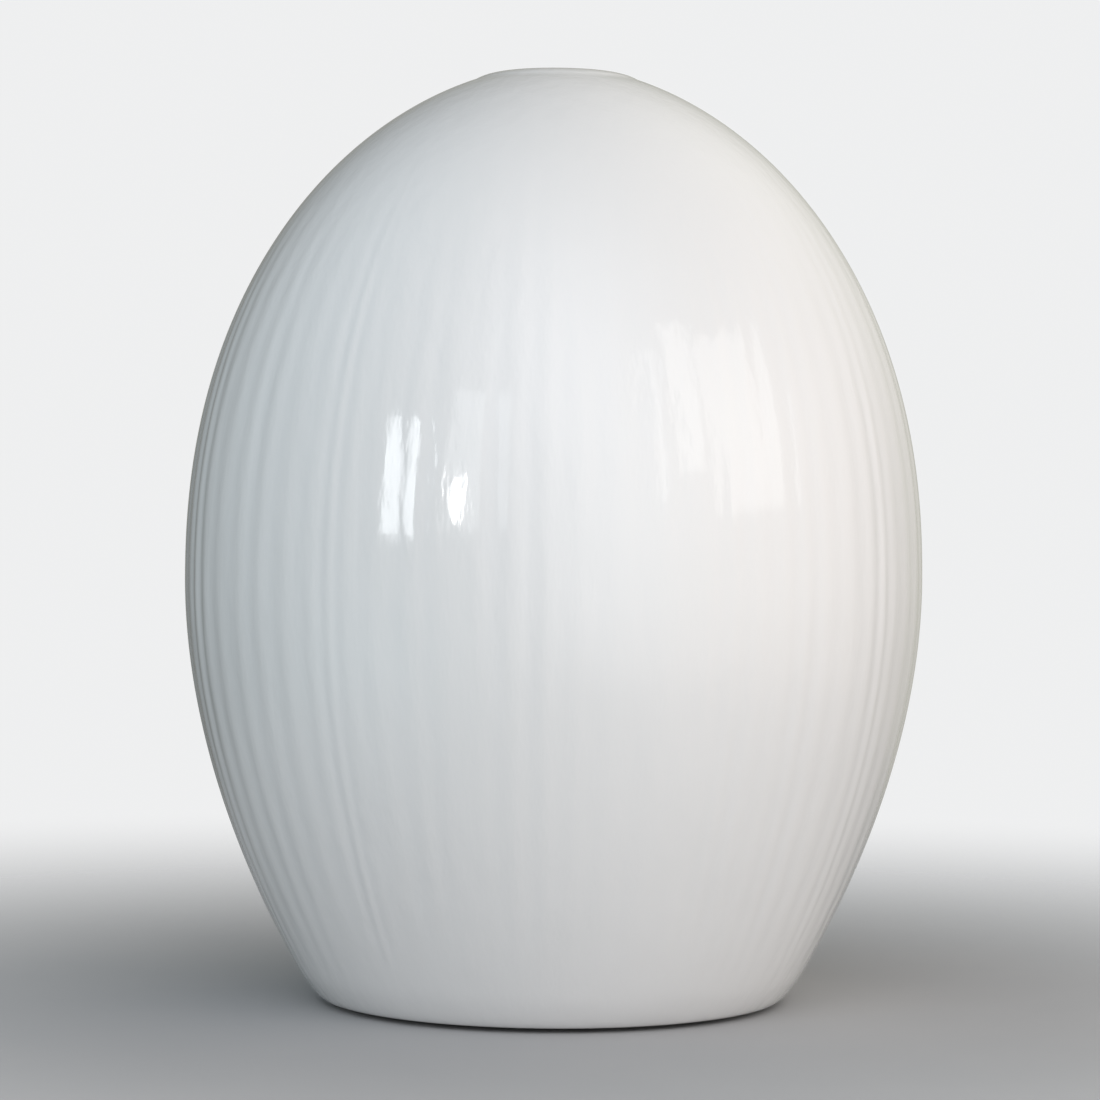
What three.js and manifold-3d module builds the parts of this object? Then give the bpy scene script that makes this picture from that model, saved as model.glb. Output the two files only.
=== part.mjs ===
// A sixty minute clockwork kitchen timer. A fluted egg is twisted on its low foot to wind the
// mainspring, and the works inside run it back to zero and ring a bell.
// Millimetres, +Z up. The origin is the middle of the footprint, on the table.

import * as THREE from "three";
import { mergeVertices } from "three/addons/utils/BufferGeometryUtils.js";
import Module from "manifold-3d";

const wasm = await Module();
wasm.setup();

// ---------------------------------------------------------------- driving dimensions

// Egg shell.
const EGG_RADIUS = 29.75;
const EGG_HEIGHT = 75;
const BELLY_HEIGHT = 34;
const CROWN_REACH = 41.5;
const CROWN_FULLNESS = 2.2;
const CROWN_POWER = 0.54;
const CROWN_EDGE_HEIGHT = 74.3;
const CROWN_FLAT_RADIUS = 4.0;
const FLANK_TAPER = 0.0127;
const FLANK_POWER = 1.9125;
const FLANK_START = 2.6;
const WALL = 2.2;
const CEILING_HEIGHT = 71.8;
const RIM_HEIGHT = 0.4;
const RIM_RADIUS = 18.6;
const MOUTH_RADIUS = 17.6;
const MOUTH_HEIGHT = 2.4;
const FLUTES = 72;
const FLUTE_DEPTH = 0.1;
const PIP_PLACE_RADIUS = 18.15;

// Foot.
const PAN_RADIUS = 17.2;
const PAN_FLOOR = [1.4, 3.0];
const PAN_LIP_RADIUS = 15.8;
const PAN_LIP_HEIGHT = 4.2;
const PAN_RECESS_RADIUS = 14.6;
const FOOT_RING = [11.8, 14.3];
const DIAL_RING = [14.8, 17.0];
const DIAL_BAND = [0.5, 0.78];
const SCREW_HOLE_RADIUS = 0.95;

// Plates of the works.
const LOWER_PLATE = [6, 7];
const UPPER_PLATE = [23, 24];
const LOWER_PLATE_RADIUS = 17.0;
const UPPER_PLATE_RADIUS = 17.2;

// Gear train: every arbor stands on one circle, so the centre distances set their angles.
const TRAIN_RADIUS = 11.2;
const WHEEL_TEETH = 48;
const PINION_LEAVES = 8;
const MAIN_MODULE = 0.4;
const SECOND_MODULE = 0.26;
const THIRD_MODULE = 0.24;
const ESCAPE_TEETH = 15;
const ESCAPE_RADIUS = 3.3;
const ANCHOR_DISTANCE = 6.5;
const STAR_TEETH = 12;
const STAR_RADIUS = 2.2;

// Arbors and their pivots.
const MAIN_ARBOR_RADIUS = 2.0;
const ARBOR_RADIUS = 0.6;
const THIN_ARBOR_RADIUS = 0.45;
const PIVOT_RADIUS = 0.3;
const FIT = 0.06;

// Height bands of what turns between the plates, [bottom, top].
const SPRING_BAND = [8, 13];
const MAIN_WHEEL_BAND = [14, 15.2];
const RATCHET_BAND = [15.5, 16.5];
const SECOND_WHEEL_BAND = [17.6, 18.4];
const LEVER_BAND = [18.9, 19.7];
const THIRD_WHEEL_BAND = [20.0, 20.8];
const STOP_BAND = [21.5, 22.5];
const STOP_PIN_RADIUS = 7.2;
const HAMMER_ARM_BAND = [25.0, 26.0];

// Bell.
const BELL_RADIUS = 16.4;
const BELL_WALL = 0.8;
const BELL_RIM = 27;
const BELL_SHOULDER = 37;

// ---------------------------------------------------------------- finishes

function finish(color, roughness, metalness) {
  return new THREE.MeshStandardMaterial({ color, roughness, metalness });
}

const glazedWhite = finish(0xeeece7, 0.12, 0);
const paleRubber = finish(0xd9d8d3, 0.8, 0);
const dialWhite = finish(0xf4f3ef, 0.4, 0);
const mouldedGrey = finish(0xc9c8c3, 0.5, 0);
const indexRed = finish(0xb0261c, 0.35, 0);
const rolledBrass = finish(0xc9a34e, 0.3, 1);
const bellMetal = finish(0xd4cfc4, 0.15, 1);
const turnedSteel = finish(0xa9abae, 0.3, 1);
const bluedSteel = finish(0x4a5163, 0.35, 1);

// ---------------------------------------------------------------- geometry helpers

// Keeps positions only, joins shared corners and drops the collapsed triangles on an axis.
function weld(geometry) {
  for (const name of Object.keys(geometry.attributes)) {
    if (name !== "position") geometry.deleteAttribute(name);
  }
  const merged = mergeVertices(geometry, 1e-4);
  const corners = merged.index.array;
  const kept = [];
  for (let i = 0; i < corners.length; i += 3) {
    const [a, b, c] = [corners[i], corners[i + 1], corners[i + 2]];
    if (a !== b && b !== c && c !== a) kept.push(a, b, c);
  }
  merged.setIndex(kept);
  return merged;
}

function toSolid(geometry) {
  const triVerts = new Uint32Array(geometry.index.array);
  const vertProperties = new Float32Array(geometry.attributes.position.array);
  return new wasm.Manifold(new wasm.Mesh({ numProp: 3, vertProperties, triVerts }));
}

function fromSolid(solid) {
  const mesh = solid.getMesh();
  const geometry = new THREE.BufferGeometry();
  geometry.setAttribute("position", new THREE.BufferAttribute(mesh.vertProperties, 3));
  geometry.setIndex(new THREE.BufferAttribute(mesh.triVerts, 1));
  return geometry;
}

function join(first, ...others) {
  return fromSolid(others.reduce((solid, other) => solid.add(toSolid(other)), toSolid(first)));
}

function cut(body, ...tools) {
  return fromSolid(tools.reduce((solid, tool) => solid.subtract(toSolid(tool)), toSolid(body)));
}

// Turns a closed outline of [radius, height] corners about Z, outside going up.
function turn(outline, segments = 20) {
  const corners = [...outline, outline[0]];
  const closed = corners.map(([radius, height]) => new THREE.Vector2(radius, height));
  return weld(new THREE.LatheGeometry(closed, segments).rotateX(Math.PI / 2));
}

function rod(radius, bottom, top, segments = 12) {
  return turn([[0, bottom], [radius, bottom], [radius, top], [0, top]], segments);
}

function ring(inner, outer, bottom, top, segments = 20) {
  return turn([[inner, bottom], [outer, bottom], [outer, top], [inner, top]], segments);
}

// Raises a flat outline between two heights.
function raise(shape, [bottom, top], curveSegments = 6) {
  const options = { depth: top - bottom, bevelEnabled: false, curveSegments };
  return weld(new THREE.ExtrudeGeometry(shape, options).translate(0, 0, bottom));
}

// A band of heights widened so that a cutting tool comes out on both sides.
function through([bottom, top]) {
  return [bottom - 1, top + 1];
}

function moved(geometry, x, y) {
  return geometry.translate(x, y, 0);
}

// A flat strip with round ends, from one point to another.
function strip([x0, y0], [x1, y1], halfWidth, band) {
  const along = Math.atan2(y1 - y0, x1 - x0);
  const shape = new THREE.Shape();
  shape.absarc(x1, y1, halfWidth, along - Math.PI / 2, along + Math.PI / 2);
  shape.absarc(x0, y0, halfWidth, along + Math.PI / 2, along + Math.PI * 1.5);
  return raise(shape, band, 4);
}

function radians(degrees) {
  return THREE.MathUtils.degToRad(degrees);
}

function polar(radius, degrees) {
  return [radius * Math.cos(radians(degrees)), radius * Math.sin(radians(degrees))];
}

// The angle along the train circle between two arbors a given distance apart.
function stepAngle(distance) {
  return THREE.MathUtils.radToDeg(2 * Math.asin(distance / (2 * TRAIN_RADIUS)));
}

// ---------------------------------------------------------------- layout

const meshRadius = (module) => (module * (WHEEL_TEETH + PINION_LEAVES)) / 2;

const SECOND_ANGLE = 0;
const THIRD_ANGLE = SECOND_ANGLE + stepAngle(meshRadius(SECOND_MODULE));
const ESCAPE_ANGLE = THIRD_ANGLE + stepAngle(meshRadius(THIRD_MODULE));
const ANCHOR_ANGLE = ESCAPE_ANGLE + stepAngle(ANCHOR_DISTANCE);
const HAMMER_ANGLE = -45;
const RELEASE_ANGLE = -105;

const PILLAR_RADIUS = 15.6;
const PILLAR_ANGLES = [88, 200, 300];
const SCREW_RADIUS = 8.5;
const SCREW_ANGLES = [20, 140, 260];
const SPRING_POST_PLACE = polar(10.1, 235);
const STOP_PIN_PLACE = polar(STOP_PIN_RADIUS, 180);

const timer = new THREE.Group();

function add(group, name, geometry, material, spin = 0) {
  const mesh = new THREE.Mesh(geometry, material);
  mesh.name = name;
  mesh.rotation.z = spin;
  group.add(mesh);
  return mesh;
}

// A group whose origin is an arbor of the train circle.
function arborGroup(degrees) {
  const group = new THREE.Group();
  const [x, y] = polar(TRAIN_RADIUS, degrees);
  group.position.set(x, y, 0);
  timer.add(group);
  return group;
}

// The direction from one arbor of the circle to another, in radians.
function heading(fromDegrees, toDegrees) {
  const [x0, y0] = polar(TRAIN_RADIUS, fromDegrees);
  const [x1, y1] = polar(TRAIN_RADIUS, toDegrees);
  return Math.atan2(y1 - y0, x1 - x0);
}

// ---------------------------------------------------------------- egg shell

function flankRadius(height) {
  return EGG_RADIUS - FLANK_TAPER * (BELLY_HEIGHT - height) ** FLANK_POWER;
}

// Above the belly the egg closes in a curve a little more pointed than an ellipse.
function crownRadius(height, bellyRadius, reach) {
  const rise = (height - BELLY_HEIGHT) / reach;
  return bellyRadius * (1 - rise ** CROWN_FULLNESS) ** CROWN_POWER;
}

// Heights from the belly up to a last one, closer together towards the crown.
function crownHeights(last, reach, rows) {
  const lastTilt = Math.asin((last - BELLY_HEIGHT) / reach);
  const heights = [];
  for (let row = 0; row <= rows; row += 1) {
    heights.push(BELLY_HEIGHT + reach * Math.sin((lastTilt * row) / rows));
  }
  return heights;
}

// Fades the flutes out on the crown and above the foot: 0 is smooth, 1 is full depth.
function fluteFade(height) {
  const foot = THREE.MathUtils.smoothstep(height, 0.8, 5.5);
  const crown = 1 - THREE.MathUtils.smoothstep(height, 60, 73.5);
  return foot * crown;
}

// Hand-drawn flutes aren't evenly spaced: three slow waves shift them round the egg.
function fluteAngle(turned) {
  const shift = 0.026 * Math.sin(5 * turned + 1) + 0.016 * Math.sin(11 * turned + 2.2);
  return turned + shift + 0.009 * Math.sin(19 * turned + 0.4);
}

function fluteCut(turned) {
  const unevenness = 0.75 + 0.25 * Math.sin(7 * turned + 0.8);
  return FLUTE_DEPTH * unevenness * (0.5 - 0.5 * Math.cos(FLUTES * turned));
}

function eggOutside() {
  const outline = [[0, RIM_HEIGHT], [RIM_RADIUS, RIM_HEIGHT], [19.0, 0.64], [19.65, 1.39]];
  const flankRows = 4;
  for (let row = 0; row < flankRows; row += 1) {
    const height = FLANK_START + ((BELLY_HEIGHT - FLANK_START) * row) / flankRows;
    outline.push([flankRadius(height), height]);
  }
  for (const height of crownHeights(CROWN_EDGE_HEIGHT, CROWN_REACH, 9)) {
    outline.push([crownRadius(height, EGG_RADIUS, CROWN_REACH), height]);
  }
  outline.push([5.45, 74.83], [CROWN_FLAT_RADIUS, EGG_HEIGHT], [0, EGG_HEIGHT]);
  const egg = turn(outline, 2 * FLUTES);
  const place = egg.attributes.position;
  for (let i = 0; i < place.count; i += 1) {
    const [x, y, z] = [place.getX(i), place.getY(i), place.getZ(i)];
    const turned = Math.atan2(y, x);
    const angle = fluteAngle(turned);
    const radius = Math.hypot(x, y);
    const fluted = radius > 0 ? radius - fluteCut(turned) * fluteFade(z) : 0;
    place.setXY(i, fluted * Math.cos(angle), fluted * Math.sin(angle));
  }
  return egg;
}

function eggHollow() {
  const outline = [[0, 0], [MOUTH_RADIUS, 0], [MOUTH_RADIUS, MOUTH_HEIGHT]];
  for (let height = 4.5; height < BELLY_HEIGHT; height += 9.8) {
    outline.push([flankRadius(height) - WALL, height]);
  }
  const reach = CROWN_REACH - WALL;
  for (const height of crownHeights(CEILING_HEIGHT, reach, 6)) {
    outline.push([crownRadius(height, EGG_RADIUS - WALL, reach), height]);
  }
  outline.push([0, CEILING_HEIGHT]);
  return turn(outline, 36);
}

function buildEgg() {
  const pipPlace = polar(PIP_PLACE_RADIUS, 0);
  const pipHole = moved(rod(0.42, 0, 1.8), ...pipPlace);
  add(timer, "egg_shell", cut(eggOutside(), eggHollow(), pipHole), glazedWhite);
  add(timer, "index_pip", moved(rod(0.35, 0.45, 1.7), ...pipPlace), indexRed);

  // The column is bonded under the crown and drops over the square end of the arbor.
  const columnFoot = 41.5;
  const columnTop = CEILING_HEIGHT - 0.2;
  const column = turn([
    [0, columnFoot], [3.6, columnFoot], [3.6, 61], [4.4, 66], [6.0, 70], [6.0, columnTop],
    [0, columnTop],
  ], 16);
  const socket = new THREE.BoxGeometry(3.0, 3.0, 8).translate(0, 0, columnFoot + 3.5);
  add(timer, "drive_column", cut(column, weld(socket)), mouldedGrey);
}

// ---------------------------------------------------------------- foot

function soundSlot(startDegrees, endDegrees) {
  const shape = new THREE.Shape();
  shape.absarc(0, 0, 9.6, radians(startDegrees), radians(endDegrees));
  shape.absarc(0, 0, 5.6, radians(endDegrees), radians(startDegrees), true);
  return raise(shape, through(PAN_FLOOR), 4);
}

// A pan head screw with a cross recess, driven up from below.
function baseScrew() {
  const [headBottom, headTop] = [1.5, 2.35];
  const screw = turn([
    [0, headBottom], [1.65, headBottom], [1.65, headTop], [0.8, headTop], [0.8, 7.2], [0, 7.2],
  ], 12);
  const drive = new THREE.BoxGeometry(2.2, 0.45, 1.0).translate(0, 0, headBottom);
  const crossed = new THREE.BoxGeometry(0.45, 2.2, 1.0).translate(0, 0, headBottom);
  return cut(screw, weld(drive), weld(crossed));
}

function buildFoot() {
  const panOutline = [
    [0, PAN_FLOOR[0]], [PAN_RECESS_RADIUS, PAN_FLOOR[0]], [PAN_RECESS_RADIUS, DIAL_BAND[1] + 0.02],
    [PAN_RADIUS, DIAL_BAND[1] + 0.02], [PAN_RADIUS, PAN_LIP_HEIGHT], [PAN_LIP_RADIUS, PAN_LIP_HEIGHT],
    [PAN_LIP_RADIUS, PAN_FLOOR[1]], [0, PAN_FLOOR[1]],
  ];
  const bosses = [];
  const holes = [];
  SCREW_ANGLES.forEach((degrees, i) => {
    const place = polar(SCREW_RADIUS, degrees);
    bosses.push(moved(rod(2.1, 2, LOWER_PLATE[0] - 0.02), ...place));
    holes.push(moved(rod(SCREW_HOLE_RADIUS, 0, 8), ...place), moved(rod(1.9, 0, 2.4), ...place));
    add(timer, `base_screw_${i + 1}`, moved(baseScrew(), ...place), turnedSteel);
  });
  const slots = SCREW_ANGLES.map((degrees) => soundSlot(degrees + 32, degrees + 88));
  const pan = cut(join(turn(panOutline, 32), ...bosses), ...holes, ...slots);
  add(timer, "base_pan", pan, mouldedGrey);
  add(timer, "dial_ring", ring(...DIAL_RING, ...DIAL_BAND, 32), dialWhite);
  const [inner, outer] = FOOT_RING;
  const [chamfer, top] = [0.4, 1.38];
  const foot = turn([
    [inner + chamfer, 0], [outer - chamfer, 0], [outer, chamfer], [outer, top], [inner, top],
    [inner, chamfer],
  ], 32);
  add(timer, "foot_ring", foot, paleRubber);
}

// ---------------------------------------------------------------- plates, pillars and bell

const ARBOR_ANGLES = [
  SECOND_ANGLE, THIRD_ANGLE, ESCAPE_ANGLE, ANCHOR_ANGLE, HAMMER_ANGLE, RELEASE_ANGLE,
];

function holesAt(angles, circle, radius, plate) {
  return angles.map((degrees) => moved(rod(radius, ...through(plate)), ...polar(circle, degrees)));
}

function buildPlates() {
  const pivotBore = PIVOT_RADIUS + FIT;
  const lowerHoles = [
    ...holesAt(ARBOR_ANGLES, TRAIN_RADIUS, pivotBore, LOWER_PLATE),
    ...holesAt(PILLAR_ANGLES, PILLAR_RADIUS, SCREW_HOLE_RADIUS, LOWER_PLATE),
    ...holesAt(SCREW_ANGLES, SCREW_RADIUS, SCREW_HOLE_RADIUS, LOWER_PLATE),
    moved(rod(0.55, ...through(LOWER_PLATE)), ...SPRING_POST_PLACE),
    rod(3.2, ...through(LOWER_PLATE), 20),
  ];
  const upperHoles = [
    ...holesAt(ARBOR_ANGLES, TRAIN_RADIUS, pivotBore, UPPER_PLATE),
    ...holesAt(PILLAR_ANGLES, PILLAR_RADIUS, SCREW_HOLE_RADIUS, UPPER_PLATE),
    ...holesAt([HAMMER_ANGLE], TRAIN_RADIUS, ARBOR_RADIUS + FIT, UPPER_PLATE),
    moved(rod(0.6, ...through(UPPER_PLATE)), ...STOP_PIN_PLACE),
    rod(3.3, ...through(UPPER_PLATE), 20),
  ];
  const lower = rod(LOWER_PLATE_RADIUS, ...LOWER_PLATE, 36);
  const upper = rod(UPPER_PLATE_RADIUS, ...UPPER_PLATE, 36);
  add(timer, "lower_plate", cut(lower, ...lowerHoles), rolledBrass);
  add(timer, "upper_plate", cut(upper, ...upperHoles), rolledBrass);
  const bore = MAIN_ARBOR_RADIUS + FIT;
  add(timer, "lower_bush", ring(bore, 3.1, 5.5, 7.5), rolledBrass);
  add(timer, "upper_bush", ring(bore, 3.2, 22.7, UPPER_PLATE[1]), rolledBrass);
  add(timer, "spring_post", moved(turn([
    [0, 5.6], [0.5, 5.6], [0.5, 7.05], [0.6, 7.05], [0.6, 13.4], [0, 13.4],
  ], 12), ...SPRING_POST_PLACE), turnedSteel);
  add(timer, "stop_pin", moved(turn([
    [0, 21.2], [0.75, 21.2], [0.75, 22.95], [0.55, 22.95], [0.55, 24.2], [0, 24.2],
  ], 12), ...STOP_PIN_PLACE), turnedSteel);
}

function hexagon(acrossCorners, bore, band) {
  const shape = new THREE.Shape();
  for (let corner = 0; corner < 6; corner += 1) {
    const [x, y] = polar(acrossCorners, 60 * corner);
    if (corner === 0) shape.moveTo(x, y);
    else shape.lineTo(x, y);
  }
  return raise(bored(shape, bore), band);
}

function buildPillars() {
  PILLAR_ANGLES.forEach((degrees, i) => {
    const place = polar(PILLAR_RADIUS, degrees);
    const pillar = turn([
      [0, 5.5], [0.9, 5.5], [0.9, 7.02], [1.3, 7.02], [1.3, 22.98], [0.9, 22.98], [0.9, 25.3],
      [0, 25.3],
    ], 12);
    add(timer, `pillar_${i + 1}`, moved(pillar, ...place), turnedSteel);
    const nut = hexagon(1.6, 0.98, [UPPER_PLATE[1] + 0.02, 25.0]);
    add(timer, `pillar_nut_${i + 1}`, moved(nut, ...place), rolledBrass);
  });
}

function buildBell() {
  const postBore = MAIN_ARBOR_RADIUS + 0.2;
  const post = [
    [postBore, 24.02], [3.9, 24.02], [3.9, 25], [3.1, 25], [3.1, BELL_SHOULDER], [2.7, BELL_SHOULDER],
    [2.7, 39.6], [postBore, 39.6],
  ];
  add(timer, "bell_post", turn(post, 20), turnedSteel);
  // The bell is a pressed dome: a straight lip, then an arc in to a flat seat on the post.
  const arcFoot = 31;
  const arcHeight = BELL_SHOULDER - arcFoot;
  const lastTilt = 0.44 * Math.PI;
  const seatRadius = 4.4;
  const outside = [[BELL_RADIUS, BELL_RIM]];
  const inside = [[BELL_RADIUS - BELL_WALL, BELL_RIM]];
  const arcSteps = 5;
  for (let step = 0; step <= arcSteps; step += 1) {
    const tilt = (lastTilt * step) / arcSteps;
    const rise = arcFoot + (arcHeight * Math.sin(tilt)) / Math.sin(lastTilt);
    const radius = seatRadius + (BELL_RADIUS - seatRadius) * Math.cos(tilt);
    outside.push([radius, rise + BELL_WALL]);
    inside.push([Math.max(radius - BELL_WALL, 4.2), rise]);
  }
  const seat = [[2.8, BELL_SHOULDER + BELL_WALL], [2.8, BELL_SHOULDER + 0.02]];
  add(timer, "bell", turn([...outside, ...seat, ...inside.reverse()], 24), bellMetal);
  const nutBand = [BELL_SHOULDER + BELL_WALL + 0.02, 39.2];
  add(timer, "bell_nut", hexagon(4.2, 2.8, nutBand), turnedSteel);
}

// ---------------------------------------------------------------- springs

function spiralSpring() {
  const turns = 5;
  const stepsPerTurn = 16;
  const inner = MAIN_ARBOR_RADIUS + 0.15;
  const outer = 9.1;
  const thickness = 0.3;
  const side = (offset) => {
    const points = [];
    for (let step = 0; step <= turns * stepsPerTurn; step += 1) {
      const share = step / (turns * stepsPerTurn);
      const radius = inner + (outer - inner) * share + offset;
      points.push(new THREE.Vector2(...polar(radius, 235 - 360 * turns * (1 - share))));
    }
    return points;
  };
  return raise(new THREE.Shape([...side(0).reverse(), ...side(thickness)].reverse()), SPRING_BAND);
}

// The coil of wire round a lever's arbor, with its straight tails left off.
function returnSpring() {
  const [coilRadius, wireRadius, bottom, turns] = [0.95, 0.15, 9.2, 3];
  const rise = 5.2 * wireRadius * turns;
  class Helix extends THREE.Curve {
    getPoint(share, target = new THREE.Vector3()) {
      const [x, y] = polar(coilRadius, 360 * turns * share);
      return target.set(x, y, bottom + rise * share);
    }
  }
  const section = new THREE.Shape();
  for (let corner = 0; corner < 6; corner += 1) {
    const [x, y] = polar(wireRadius, 60 * corner);
    if (corner === 0) section.moveTo(x, y);
    else section.lineTo(x, y);
  }
  const options = { steps: 8 * turns, extrudePath: new Helix(), bevelEnabled: false };
  return weld(new THREE.ExtrudeGeometry(section, options));
}

// ---------------------------------------------------------------- toothed wheels

// Four corners to a tooth, with tooth 0 pointing along +X. Widths are shares of the pitch.
function toothed(teeth, root, tip, rootWidth, tipWidth, lean = 0) {
  const pitch = 360 / teeth;
  const shape = new THREE.Shape();
  for (let tooth = 0; tooth < teeth; tooth += 1) {
    const corners = [
      [root, -rootWidth / 2], [tip, lean - tipWidth / 2], [tip, lean + tipWidth / 2],
      [root, rootWidth / 2],
    ];
    corners.forEach(([radius, share], corner) => {
      const [x, y] = polar(radius, (tooth + share) * pitch);
      if (tooth === 0 && corner === 0) shape.moveTo(x, y);
      else shape.lineTo(x, y);
    });
  }
  return shape;
}

function bored(shape, radius, corners = 12) {
  const bore = new THREE.Path();
  for (let corner = 0; corner <= corners; corner += 1) {
    const [x, y] = polar(radius, (360 * corner) / corners);
    if (corner === 0) bore.moveTo(x, y);
    else bore.lineTo(x, y);
  }
  shape.holes.push(bore);
  return shape;
}

// Cuts the windows that leave spokes between a hub and a rim.
function crossedOut(shape, spokes, hub, rim) {
  for (let window = 0; window < spokes; window += 1) {
    const middle = (2 * Math.PI * (window + 0.5)) / spokes;
    const half = Math.PI / spokes;
    const hole = new THREE.Path();
    hole.absarc(0, 0, rim, middle - half + 0.12, middle + half - 0.12);
    hole.absarc(0, 0, hub, middle + half - 0.3, middle - half + 0.3, true);
    shape.holes.push(hole);
  }
  return shape;
}

function wheelShape(module) {
  const pitchRadius = (module * WHEEL_TEETH) / 2;
  return toothed(WHEEL_TEETH, pitchRadius - 1.1 * module, pitchRadius + 0.75 * module, 0.58, 0.14);
}

function pinionShape(module) {
  const pitchRadius = (module * PINION_LEAVES) / 2;
  return toothed(PINION_LEAVES, pitchRadius - 1.05 * module, pitchRadius + 0.6 * module, 0.44, 0.2);
}

// A pivoted arbor between the plates.
function arborSolid(radius) {
  return turn([
    [0, 6.1], [PIVOT_RADIUS, 6.1], [PIVOT_RADIUS, 7.1], [radius, 7.1], [radius, 22.9],
    [PIVOT_RADIUS, 22.9], [PIVOT_RADIUS, 23.9], [0, 23.9],
  ], 12);
}

const CLICK_POST_RADIUS = 6.4;
const CLICK_POST_ANGLE = 150;
const NOSE_SEAT = 3.6;
const CLICK_SWEEP = Math.acos(NOSE_SEAT / CLICK_POST_RADIUS);

// A pinion gap faces the driving wheel, and a wheel tooth faces the driven pinion.
const HALF_LEAF = Math.PI / PINION_LEAVES;

function buildMainWheel() {
  const wheel = bored(wheelShape(MAIN_MODULE), MAIN_ARBOR_RADIUS + 0.1, 20);
  const postPlace = polar(CLICK_POST_RADIUS, CLICK_POST_ANGLE);
  for (const degrees of [30, 270]) {
    const [x, y] = polar(6.2, degrees);
    wheel.holes.push(new THREE.Path().absarc(x, y, 1.7, 0, 2 * Math.PI));
  }
  wheel.holes.push(new THREE.Path().absarc(...postPlace, 0.56, 0, 2 * Math.PI));
  add(timer, "main_wheel", raise(wheel, MAIN_WHEEL_BAND), rolledBrass);

  const post = turn([
    [0, 13.9], [0.5, 13.9], [0.5, 16.55], [0.9, 16.55], [0.9, 16.9], [0, 16.9],
  ], 12);
  add(timer, "click_post", moved(post, ...postPlace), turnedSteel);
  add(timer, "click", moved(clickSolid(), ...postPlace), turnedSteel);
  const springFoot = polar(8.9, CLICK_POST_ANGLE - 18);
  const springTip = polar(6.5, CLICK_POST_ANGLE - 36);
  add(timer, "click_spring", strip(springFoot, springTip, 0.16, RATCHET_BAND), bluedSteel);
}

// The nose lies where a line from the post touches the ratchet squarely, so it lifts straight
// out. Local X points out from the main arbor through the post.
function clickSolid() {
  const outward = [Math.cos(CLICK_SWEEP), -Math.sin(CLICK_SWEEP)];
  const nose = [NOSE_SEAT * outward[0] - CLICK_POST_RADIUS, NOSE_SEAT * outward[1]];
  const shape = new THREE.Shape();
  shape.moveTo(...nose);
  shape.lineTo(nose[0] + 1.3 * outward[0], nose[1] + 1.3 * outward[1]);
  shape.lineTo(0.6, -0.8);
  shape.lineTo(-0.9, 0.3);
  shape.lineTo(-2.8, -2.5);
  const hubBore = rod(0.56, ...through(RATCHET_BAND));
  const body = join(rod(1.0, ...RATCHET_BAND), raise(shape, RATCHET_BAND));
  return cut(body, hubBore).rotateZ(radians(CLICK_POST_ANGLE));
}

function buildMainArbor() {
  const shaft = turn([
    [0, 3.4], [MAIN_ARBOR_RADIUS, 3.4], [MAIN_ARBOR_RADIUS, 41], [0, 41],
  ], 20);
  const square = weld(new THREE.BoxGeometry(2.7, 2.7, 8).translate(0, 0, 44));
  add(timer, "main_arbor", join(shaft, square), turnedSteel);
  const grip = MAIN_ARBOR_RADIUS + 0.03;
  add(timer, "arbor_collar", ring(grip, 3.0, 4.4, 5.3), turnedSteel);
  // The steep side of tooth 0 stands just behind the click's nose.
  const ratchet = toothed(16, 3.35, 4.15, 0.9, 0.06, 0.42);
  const steepSide = (0.45 * 360) / 16;
  const ratchetSpin = radians(CLICK_POST_ANGLE - steepSide - 1.8) - CLICK_SWEEP;
  const ratchetWheel = raise(bored(ratchet, grip, 20), RATCHET_BAND);
  add(timer, "ratchet_wheel", ratchetWheel, bluedSteel, ratchetSpin);

  const cam = new THREE.Shape();
  const [notchAngle, notchHalf] = [noseAngle(), 13];
  cam.absarc(0, 0, 4.3, radians(notchAngle + notchHalf), radians(notchAngle - notchHalf + 360));
  cam.lineTo(...polar(3.15, notchAngle - 8));
  cam.lineTo(...polar(3.15, notchAngle + 8));
  add(timer, "release_cam", raise(bored(cam, grip, 20), LEVER_BAND, 12), turnedSteel);

  const stopStart = THREE.MathUtils.radToDeg(Math.asin(1.7 / STOP_PIN_RADIUS));
  const arm = strip([0, 0], polar(7.6, 180 - stopStart), 0.8, STOP_BAND);
  const hub = rod(3.4, ...STOP_BAND, 20);
  add(timer, "stop_arm", cut(join(hub, arm), rod(grip, ...through(STOP_BAND), 20)), turnedSteel);
}

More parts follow.
